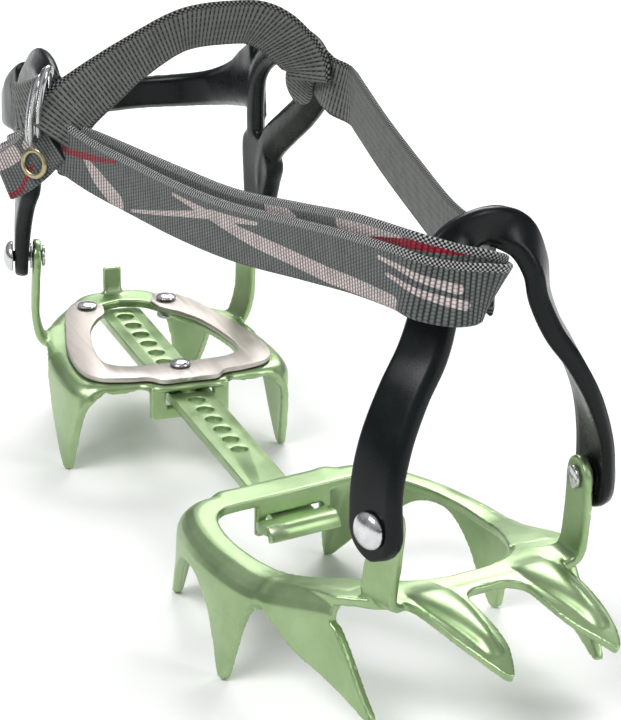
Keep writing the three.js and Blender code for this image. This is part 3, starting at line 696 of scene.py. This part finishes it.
# ---- flat plates ---------------------------------------------------------------------------
def flat_plate(name, outline, z, thickness, holes, bevel):
    """A flat plate with rounded edges, from an outline and round holes."""
    curve = bpy.data.curves.new(name, "CURVE")
    curve.dimensions = "2D"
    curve.fill_mode = "BOTH"
    curve.extrude = (thickness / 2 - bevel) / 1000
    curve.bevel_depth = bevel / 1000
    curve.bevel_resolution = 2
    curve.offset = -bevel / 1000
    rings = [outline]
    angles = np.arange(36) * 2 * math.pi / 36
    for x, y, radius in holes:
        rings.append([(x + radius * math.cos(a), y + radius * math.sin(a)) for a in angles])
    for ring in rings:
        line = curve.splines.new("POLY")
        line.points.add(len(ring) - 1)
        for point, (x, y) in zip(line.points, ring):
            point.co = ((x + MOVE[0]) / 1000, (y + MOVE[1]) / 1000, 0, 1)
        line.use_cyclic_u = True
    holder = bpy.data.objects.new(name + "_curve", curve)
    bpy.context.scene.collection.objects.link(holder)
    bpy.context.view_layer.update()
    mesh = bpy.data.meshes.new_from_object(holder.evaluated_get(bpy.context.evaluated_depsgraph_get()))
    bpy.data.objects.remove(holder)
    mesh.transform(Matrix.Translation((0, 0, (z + thickness / 2 + MOVE[2]) / 1000)))
    obj = bpy.data.objects.new(name, mesh)
    bpy.context.scene.collection.objects.link(obj)
    weld = obj.modifiers.new("weld", "WELD")
    weld.merge_threshold = 0.00001
    baked(obj)
    obj.data.shade_flat()
    obj.data.set_sharp_from_angle(angle=math.radians(28))
    obj.data.polygons.foreach_set("use_smooth", [True] * len(obj.data.polygons))
    return obj


BAR_HEAD = [(16, -7.5), (14.9, -12.2), (16.4, -12.6), (20.4, -12.2), (20.4, 11), (16.4, 11.4), (14.9, 11),
            (16, 6.5)]


def linking_bar():
    half = BAR_WIDTH / 2
    head = [tuple(from_toe([x, y, 0])[:2]) for x, y in BAR_HEAD]
    outline = [(-72, -3.5), (-71.4, -5.4), (-70, -half), (92, -half)] + head
    outline += [(92, half), (-70, half), (-71.4, 5.4), (-72, 3.5)]
    holes = [(FIRST_HOLE + k * HOLE_PITCH, 0, HOLE_RADIUS) for k in range(HOLE_COUNT)]
    bar = flat_plate("linking_bar_skin", outline, BAR_TOP - BAR_THICKNESS, BAR_THICKNESS, holes, 0.45)
    finish_piece(bar, "toe_unit", GREEN, "green_metal", "linking_bar")
    route = from_toe([(19.0, -0.6, 25.2), (21.0, -0.6, 24.7), (21.9, -0.6, 22.2)])
    lip = band(route, [(-math.sin(TOE_YAW), math.cos(TOE_YAW), 0)], [(23, 2.6)], step=0.5, corner=0.6)
    lip = make("linking_bar_lip", *lip[:2])
    finish_piece(lip, "toe_unit", GREEN, "green_metal")


linking_bar()

SPRING_OUTSIDE = [(-69, 10), (-68, 15.5), (-60, 20.5), (-46, 24.5), (-30, 28.5), (-14, 29.5), (-6, 26),
                  (-3, 18), (-2, 12), (1.5, 8), (1.5, 0)]
SPRING_INSIDE = [(-11.5, 0), (-11.5, 10), (-13, 17), (-18, 21), (-29, 20.5), (-43, 17.5), (-52, 13),
                 (-57, 9), (-63, 7.6)]
SPRING_RIVETS = [(-63, -12.6), (-63, 12.6)]
PIN_X = FIRST_HOLE + 7 * HOLE_PITCH


def spring_plate():
    outside = spline(SPRING_OUTSIDE, np.linspace(0, len(SPRING_OUTSIDE) - 1, 61))
    inside = spline(SPRING_INSIDE, np.linspace(0, len(SPRING_INSIDE) - 1, 41))
    right = outside[::-1][1:] * (1, -1)
    inner_right = inside[::-1] * (1, -1)
    outline = [tuple(p) for p in np.concatenate([outside, right, inner_right, inside[1:]])]
    holes = [(x, y, 1.9) for x, y in SPRING_RIVETS] + [(PIN_X, 0, 1.9)]
    plate = flat_plate("spring_plate_skin", outline, SPRING_TOP - SPRING_THICKNESS, SPRING_THICKNESS,
                       holes, 0.3)
    finish_piece(plate, "latch", SPRING, "spring_steel", "spring_plate")


spring_plate()


# ---- rivets, pin and washers ---------------------------------------------------------------
def dome(head, base, rise, shank, tail, tail_radius):
    """A domed rivet's profile, from its tail to the top of its head."""
    rows = [(0.01, tail - 1), (tail_radius - 0.3, tail - 1), (tail_radius, tail - 0.7), (tail_radius, tail),
            (shank, tail + 0.02), (shank, base - 0.02), (head - 0.15, base), (head, base + 0.2)]
    for k in range(1, 9):
        angle = math.radians(90 * k / 8)
        rows.append((max(head * math.cos(angle), 0.01), base + 0.3 + (rise - 0.3) * math.sin(angle)))
    return rows


for word, (x, y) in zip(("right", "left"), SPRING_RIVETS):
    name = f"spring_rivet_{word}"
    rows = dome(3.1, SPRING_TOP + 0.42, 1.1, RIVET_SHANK, HEEL_TOP - HEEL_SHEET - 0.3, 2.8)
    rivet = make(name + "_skin", *lathe(rows, np.array([x, y, 0.0]), UPRIGHT))
    finish_piece(rivet, "heel_unit", RIVET, "rivet_steel", name)

pin_rows = [(0.01, BAR_TOP + 0.3), (1.2, BAR_TOP + 0.3), (RIVET_SHANK, BAR_TOP + 0.8),
            (RIVET_SHANK, SPRING_TOP + 0.28)]
pin_rows += dome(3.1, SPRING_TOP + 0.3, 1.3, RIVET_SHANK, BAR_TOP, 2)[6:]
pin = make("lock_pin_skin", *lathe(pin_rows, np.array([PIN_X, 0.0, 0.0]), UPRIGHT))
finish_piece(pin, "latch", RIVET, "rivet_steel", "lock_pin")


def stack(sheet_thickness, washer, play, arm):
    """Distances from the middle of a post to the washer, the bail's arm, and the rivet's two ends."""
    washer_in = sheet_thickness / 2 + 0.3
    arm_in = washer_in + washer + play
    return {"washer_in": washer_in, "washer_out": washer_in + washer, "arm": arm_in + arm / 2,
            "head": arm_in + arm + play, "tail": -sheet_thickness / 2 - 0.3}


TOE_STACK = stack(TOE_SHEET, 0.4, 0.32, BAIL_ARM)
HEEL_STACK = stack(HEEL_POST, 0.5, 0.6, BAIL_ARM)


def bail_fixing(kind, body, ear, cant, layers, head, washer, toe):
    for side, word in ((-1, "right"), (1, "left")):
        eye = np.array(ear) * (1, side, 1)
        axis = out_of_arm(cant, side)
        rows = dome(head, layers["head"], 2.8, RIVET_SHANK, layers["tail"], 3.2)
        rivet = make(f"{kind}_rivet_{word}_skin", *lathe(rows, eye, axis, 48), toe=toe)
        finish_piece(rivet, body, RIVET, "rivet_steel", f"{kind}_rivet_{word}")
        a, b = layers["washer_in"], layers["washer_out"]
        rows = [(WASHER_BORE, a), (washer - 0.1, a), (washer, a + 0.1)]
        rows += [(washer, b - 0.1), (washer - 0.1, b), (WASHER_BORE, b)]
        ring = make(f"{kind}_washer_{word}_skin", *lathe(rows, eye, axis, 48), toe=toe)
        finish_piece(ring, body, RIVET, "rivet_steel", f"{kind}_washer_{word}")


bail_fixing("toe_bail", "toe_unit", TOE_EAR, TOE_CANT, TOE_STACK, 5.2, 4, True)
bail_fixing("heel_bail", "heel_unit", HEEL_EAR, HEEL_CANT, HEEL_STACK, 4.6, 3.8, False)


# ---- bails ---------------------------------------------------------------------------------
def both_ways(rows):
    """Rows from the right arm over the middle to the left arm."""
    rows = [tuple(row) for row in rows]
    if len(rows[0]) == 3:
        return on_side(rows, -1) + rows[:-1][::-1]
    return rows + rows[:-1][::-1]


def toe_bail():
    eye = np.array(TOE_EAR) + out_of_arm(TOE_CANT, 1) * TOE_STACK["arm"]
    half = [(eye[0], eye[1], 54.2), tuple(eye), (106, 34.6, 74), (105.8, 31.8, 86), (105.2, 26.4, 97.6),
            (104.4, 20.4, 107), (103.6, 16.8, 116), (103, 15.4, 124.6), (101.8, 10.6, 133), (100.6, 0, 137)]
    low = across_arm(TOE_CANT, 1)
    across = [low, low, low, (1, -0.3, 0), (1, -0.4, -0.1), (1, -0.55, -0.1), (0.9, -0.7, 0),
              (0.8, -0.8, -0.2), (0.45, -0.6, -0.7), (-0.1, 0, -1)]
    shape = [(17.6, 4), (17.6, 4), (16.8, 4), (15.2, 4.6), (14, 5), (13.4, 5.4), (12.6, 5.4), (12, 5.2),
             (11.4, 5), (11, 4.8)]
    piece = band(both_ways(half), both_ways(across), both_ways(shape), step=1.0, corner=0.62, width_points=7,
                 arc_points=4, round_start=8.8, round_end=8.8)
    obj = make("toe_bail_skin", *piece[:2], toe=True)
    return finish_piece(obj, "toe_bail", BLACK, "black_plastic", "toe_bail")


toe_bail()


LIMB = [(3.6, 4), (5.2, 8)] + [(6.2, 10.6)] * 12 + [(5.2, 8), (3.6, 4)]


def heel_bail():
    eye = np.array(HEEL_EAR) + out_of_arm(HEEL_CANT, 1) * HEEL_STACK["arm"]
    low = across_arm(HEEL_CANT, 1)
    pieces = []
    stem = [(eye[0], eye[1], 49.8), tuple(eye), (-47, 37.3, 66), (-44.8, 37, 76), (-42.6, 36.7, 83),
            (-40.6, 36.8, 89)]
    stem_across = [low, low, low, (1, 0.2, 0), (1, 0.14, 0), (1, 0.1, 0)]
    stem_shape = [(11.4, 4), (11.4, 4), (13, 4.8), (17, 5), (20.5, 5.4), (21.5, 5.6)]
    loop = [(-46, 36.9, 70), (-47.4, 36.4, 79), (-47.6, 36.1, 90), (-47.6, 36.1, 99), (-45.8, 36.3, 108),
            (-39.4, 37, 115.6), (-29, 38.1, 121.4), (-18, 39.2, 124.6), (-8, 40.2, 124.4), (-2.2, 40.8, 120),
            (-5, 40.5, 113.6), (-14, 39.6, 105), (-25, 38.4, 96.6), (-35, 37.4, 88.6), (-40.2, 36.9, 79.6),
            (-43.6, 37, 70)]
    for side in (-1, 1):
        pieces.append(band(on_side(stem, side), on_side(stem_across, side), stem_shape, corner=0.7,
                           round_start=5.7, round_end=7)[:2])
        pieces.append(band(on_side(loop, side), [(-0.1 * side, 1, 0)], LIMB, corner=0.9,
                           width_points=3, arc_points=4)[:2])
    half = [(-46.4, 36.4, 104.6), (-50, 36.4, 104), (-56, 36.4, 102.2), (-63, 35.8, 99), (-72, 34, 95.4),
            (-80, 31, 92.4), (-87, 24, 90.2), (-92.4, 13, 88.8), (-94, 0, 88)]
    heights = [(25, 4.6), (23, 4.6), (19, 4.8), (15, 5), (12.4, 5), (11.2, 5), (10.8, 5), (10.6, 5),
               (10.6, 5)]
    pieces.append(band(both_ways(half), [UPRIGHT], both_ways(heights), step=1.2, corner=0.8)[:2])
    obj = fused("heel_bail_skin", pieces, 0.55, rounds=9)
    return finish_piece(obj, "heel_bail", BLACK, "black_plastic", "heel_bail")


heel_bail()


# ---- harness -------------------------------------------------------------------------------
def toe_space(rows):
    return [tuple(row) for row in from_toe(rows)]


def strap(name, route, across, look, thickness=STRAP_THICKNESS, width=STRAP_WIDTH, step=1.2,
          marks=None, width_points=9, round_end=0.0):
    """A webbing run, with the distances along and across it kept on its points, in millimetres."""
    vertices, faces, where = band(route, across, [(width, thickness)], step=step, corner=0.9,
                                  width_points=width_points, round_end=round_end)
    obj = make(name, vertices, faces)
    attribute(obj, "along", where[:, 0])
    attribute(obj, "across", where[:, 1])
    if marks is not None:
        pale, red = marks(where)
        attribute(obj, "pale", pale)
        attribute(obj, "red", red)
    obj.data.materials.append(look)
    return obj


def stroke(where, start, end, wide_start, wide_end):
    """Where the points lie on a straight tapering stroke, as a share from 0 to 1."""
    start, end = np.array(start, float), np.array(end, float)
    run = end - start
    t = np.clip((where - start) @ run / (run @ run), 0, 1)
    gap = np.linalg.norm(where - start - t[:, None] * run, axis=1)
    half = (wide_start + (wide_end - wide_start) * t) / 2
    return np.clip(0.5 + (half - gap) * 1.2, 0, 1)


def woven_marks(pale_rows, red_rows):
    """A reader of crossed strokes, each as (along, across) ends and its two widths."""
    def marks(where):
        pale = np.zeros(len(where))
        red = np.zeros(len(where))
        for row in pale_rows:
            pale = np.maximum(pale, stroke(where, *row))
        for row in red_rows:
            red = np.maximum(red, stroke(where, *row))
        return pale, red
    return marks


# Woven strokes on the two near runs, in millimetres from the rear end: plain crossed lines.
TAIL_PALE = [
    ((43.2, -6.4), (71.1, -0.5), 0.9, 1.6), ((71.1, -0.5), (91.5, 3.4), 1.6, 2.6),
    ((91.5, 3.4), (116.9, 4.5), 2.6, 1.0), ((68.7, 4.5), (86.1, 3.3), 0.9, 2.2),
    ((86.1, 3.3), (115.0, -0.3), 2.2, 4.0), ((115.0, -0.3), (153.9, -4.7), 4.0, 4.4),
    ((153.9, -4.7), (188.0, -6.5), 4.4, 4.2), ((16.4, 2.0), (23.5, -1.7), 1.5, 5.0),
    ((23.5, -1.7), (35.4, -6.4), 5.0, 6.0), ((180, 4.2), (206, 1.4), 1.0, 2.6),
    ((184, 0.4), (208, -2.6), 1.0, 2.6)]
TAIL_RED = [
    ((1.8, -0.7), (15.9, 2.2), 1.3, 2.2), ((15.9, 2.2), (34.8, 5.6), 2.2, 1.0)]
NEAR_PALE = [
    ((10.4, 2.5), (14.4, -0.8), 3, 3), ((119.3, 5.7), (126.1, 4.7), 3, 6),
    ((126.1, 4.7), (133.6, 3.8), 6, 3), ((157.7, 5.3), (171.4, 5.5), 3, 6),
    ((171.4, 5.5), (186.0, 5.7), 6, 3)]
NEAR_RED = [
    ((173.8, 2.7), (194.2, 5.5), 2.0, 2.6), ((194.2, 5.5), (205.1, 6.7), 2.6, 1.6)]
LEANING = (-0.13, 0.58, 0.80)
RUN_LEAN = [UPRIGHT] * 7 + [(-0.02, 0.1, 1), (-0.06, 0.28, 0.94)] + [LEANING] * 4


def near_strap():
    run = [(2, -40, 106.9), (15, -34, 107.5), (40, -29, 109.8), (70, -23.4, 112.6),
           (100, -17.8, 116), (136, -11, 123.4), (162, -6.2, 129)]
    turn = toe_space([(100, -23.4, 131.8), (108, -22, 131.8), (112.6, -16.4, 130),
                      (113.4, -9.6, 128), (110.6, -4, 125.4), (105.4, -1.6, 122.8)])
    return strap("near_strap_skin", run + turn, RUN_LEAN, PRINT_WEB, step=0.6,
                 width=16.8, marks=woven_marks(NEAR_PALE, NEAR_RED), width_points=25)


def strap_tail():
    run = [(3, -41.6, 109.1), (20, -36.4, 107.2), (42, -31.2, 107.6), (72, -25.8, 109.7),
           (102, -20.2, 113.3), (136, -13.6, 119.7), (162, -8.8, 124.6)]
    turn = toe_space([(99, -26, 127.6), (109, -24.8, 127.6), (115.4, -18.4, 126.6),
                      (116.8, -10.4, 125.6), (114.2, -5.4, 124.6), (108, -3.6, 123.6)])
    return strap("strap_tail_skin", run + turn, RUN_LEAN, PRINT_WEB, step=0.5,
                 width=16.6, marks=woven_marks(TAIL_PALE, TAIL_RED), width_points=31)


def far_strap():
    run = [(5.0, 37.2, 123.9), (9.0, 37.3, 123.3), (14.0, 38.6, 121.7),
           (20, 42.2, 120), (30, 41.4, 119.6), (60, 38, 118.6), (100, 34, 118.2), (130, 31, 118.6)]
    turn = toe_space([(76, 16, 119.4), (88, 11.4, 120.2), (97, 6.2, 120.8), (101.8, 2.4, 121.2)])
    return strap("far_strap_skin", run + turn, [UPRIGHT], GREY_WEB)


def ankle_strap():
    arch = [(-45.2, 113.4), (-42.4, 117.0), (-38.8, 120.7), (-35.6, 123.3), (-28.5, 128.3), (-21.0, 133.3),
            (-9.2, 139.7), (-0.5, 141.9), (12.4, 141.9), (17.8, 140.7), (22.4, 138.0), (26.3, 134.4),
            (29.4, 130.8), (31.9, 126.6), (33.2, 122.6)]
    twist = [(-0.15, -0.72, 0.68), (-0.13, -0.70, 0.69), (0.14, -0.40, 0.79), (0.40, -0.08, 0.87)]
    twist += [(0.47, 0, 0.88)] * 4
    return strap("ankle_strap_skin", [(ANKLE_X, y, z) for y, z in arch], twist, GREY_WEB)


def span_strap(obj, node):
    """A strap drawn round the toe bail at its front: its CAD part is hidden and its place is baked into its
    points.
    """
    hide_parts(node)
    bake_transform(obj)


span_strap(near_strap(), "near_strap")
span_strap(strap_tail(), "strap_tail")
span_strap(far_strap(), "far_strap")

ankle = ankle_strap()
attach(ankle, "heel_bail")
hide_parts("ankle_strap")

keeper = strap("keeper_tab_skin", [(2.5, 34.2, 127), (-1, 33.8, 119.6), (-3.6, 34, 112)], [(1, 0.3, 0.25)],
               GREY_WEB, width=12.5, step=0.5, round_end=6.2)
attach(keeper, "heel_bail")
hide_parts("keeper_tab")


def folded_anchor():
    """The near run's end, folded flat on itself twice."""
    outer = [(6.0, -42.9, 111.3), (1.0, -44.8, 106.8), (-4.0, -47.0, 101.8), (-10.0, -49.5, 97.0),
             (-15.0, -52.0, 93.8)]
    middle = [(x - 0.8, y + 2.3, z + 2.4) for x, y, z in outer]
    inner = [(x - 1.6, y + 4.6, z + 4.6) for x, y, z in outer]
    across = [(0.3, 0, 1), (0.25, 0, 1), (0.1, 0, 1)]
    pieces = []
    for k, (route, tall) in enumerate(((outer, 14.8), (middle, 14.4), (inner, 14))):
        pieces.append(strap(f"strap_anchor_layer_{k}", route, across, PRINT_WEB,
                            thickness=TUCK_THICKNESS, width=tall, step=0.5, marks=anchor_marks,
                            width_points=25))
    return pieces


def anchor_marks(where):
    pale = np.maximum(stroke(where, (18, 4), (34, 4), 5, 5), stroke(where, (6, 5), (11, 3), 2, 4))
    bend = (24, -6)
    red = np.maximum(stroke(where, (14, -2), bend, 1.2, 1.6), stroke(where, bend, (34, -6.4), 1.6, 1.2))
    return pale, red


for layer in folded_anchor():
    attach(layer, "strap_rear")
    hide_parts("strap_anchor")

tuck_route = [(5.0, -38.4, 126.1), (3.0, -41.7, 123.7), (-1.0, -45.9, 120.1), (-6.0, -48.9, 117.6),
              (-10.0, -49.6, 117.0)]
tuck = strap("buckle_webbing_skin", tuck_route, [(0.25, 0, 0.95)], GREY_WEB,
             thickness=TUCK_THICKNESS, width=13.4, step=0.5)
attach(tuck, "heel_bail")
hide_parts("buckle_webbing")


RING_PITCH = 2.9
RING_LONG = 10.8
RING_SHORT = 5
RING_WIRE = 2.6


def wire_ring(index):
    centre = np.array([6, -45.6, 122.4]) + np.array([0, -0.8, -0.8]) * RING_PITCH * index
    long = unit(np.array([0.3, 0, 0.95])) * RING_LONG
    short = np.array([0.78, -0.57, -0.246]) * RING_SHORT
    normal = np.cross(long, short)
    angles = [math.pi * k / 8 for k in range(16)]
    route = [centre + long * math.cos(a) + short * math.sin(a) for a in angles]
    piece = band(route, [tuple(normal)], [(RING_WIRE, RING_WIRE)], step=0.8, corner=1.0, closed=True,
                 width_points=2, arc_points=4)
    return make(f"ring_{index}_skin", *piece[:2])


finish_piece(wire_ring(0), "heel_bail", WIRE, "ring_wire", "ring_inner")
finish_piece(wire_ring(1), "strap_rear", WIRE, "ring_wire", "ring_outer")

EYELET_ROWS = [(3.0, 0.0), (4.5, 0.0), (4.6, 0.25), (4.3, 0.6), (3.7, 0.8), (3.2, 0.7), (3.0, 0.4)]
EYELET_CENTRE = (-0.5, -46.6, 101.9)
EYELET_AXIS = (0.62, -0.78, 0.1)
eyelet = make("eyelet_skin", *lathe(EYELET_ROWS, np.array(EYELET_CENTRE), EYELET_AXIS, looped=True))
finish_piece(eyelet, "strap_rear", BRASS, "eyelet_brass", "eyelet")


# ---- stage, light and camera ---------------------------------------------------------------
LIGHT_AIM = (0, 0, 0.05)
FLOOR_HALF = 6.0
FLOOR_Z = -0.0003
CAMERA_BACK = 1411.3
CAMERA_RIGHT = 36.2
CAMERA_UP = 33.7
CAMERA_LENS = 237.29


def area_light(name, place, size, power):
    """A soft rectangular light that faces the object's middle."""
    light = bpy.data.lights.new(name, "AREA")
    light.shape = "RECTANGLE"
    light.size = size[0]
    light.size_y = size[1]
    light.energy = power
    obj = bpy.data.objects.new(name, light)
    obj.location = place
    obj.rotation_euler = (Vector(LIGHT_AIM) - Vector(place)).to_track_quat("-Z", "Y").to_euler()
    bpy.context.scene.collection.objects.link(obj)


def stage():
    mesh = bpy.data.meshes.new("floor")
    corners = [(x * FLOOR_HALF, y * FLOOR_HALF, FLOOR_Z) for x, y in ((-1, -1), (1, -1), (1, 1), (-1, 1))]
    mesh.from_pydata(corners, [], [(0, 1, 2, 3)])
    floor = bpy.data.objects.new("floor", mesh)
    bpy.context.scene.collection.objects.link(floor)
    look = Look("pale_floor")
    cloud = look.noise(3.0, 2, 0.5)
    base = look.mix(look.ramp(cloud, 0.3, 0.7), color(0.86, 0.86, 0.85), color(0.88, 0.88, 0.87))
    floor.data.materials.append(look.finish(Base_Color=base, Roughness=0.9))
    world = bpy.data.worlds.new("studio")
    world.use_nodes = True
    tree = world.node_tree
    sky = tree.nodes["Background"]
    place = tree.nodes.new("ShaderNodeTexCoord")
    split = tree.nodes.new("ShaderNodeSeparateXYZ")
    ramp = tree.nodes.new("ShaderNodeValToRGB")
    tree.links.new(place.outputs["Generated"], split.inputs[0])
    tree.links.new(split.outputs["Z"], ramp.inputs[0])
    tree.links.new(ramp.outputs[0], sky.inputs[0])
    ramp.color_ramp.elements[0].position = 0.05
    ramp.color_ramp.elements[0].color = (0.20, 0.22, 0.22, 1)
    ramp.color_ramp.elements[1].position = 0.75
    ramp.color_ramp.elements[1].color = (0.95, 0.97, 1.0, 1)
    sky.inputs[1].default_value = 0.56
    bpy.context.scene.world = world
    area_light("key", (0.5, -1.0, 1.3), (0.9, 0.6), 18)
    area_light("back", (-0.9, 0.5, 0.9), (0.8, 0.5), 12)
    area_light("side", (0.9, 0.9, 0.7), (0.4, 0.9), 6)


def camera():
    """A long lens from the front and the object's right, a little above it."""
    back = np.array([0.8793, -0.3079, 0.3633])
    right = np.array([0.3257, 0.9453, 0.0130])
    up = np.array([-0.3475, 0.1069, 0.9316])
    place = back * CAMERA_BACK + right * CAMERA_RIGHT + up * CAMERA_UP
    data = bpy.data.cameras.new("camera")
    data.lens = CAMERA_LENS
    data.clip_end = 50
    obj = bpy.data.objects.new("camera", data)
    rows = [[right[k], up[k], back[k], (place[k] + MOVE[k]) / 1000] for k in range(3)]
    obj.matrix_world = Matrix(rows + [[0, 0, 0, 1]])
    bpy.context.scene.collection.objects.link(obj)
    bpy.context.scene.camera = obj


stage()
camera()
bpy.context.scene.view_settings.view_transform = "Standard"
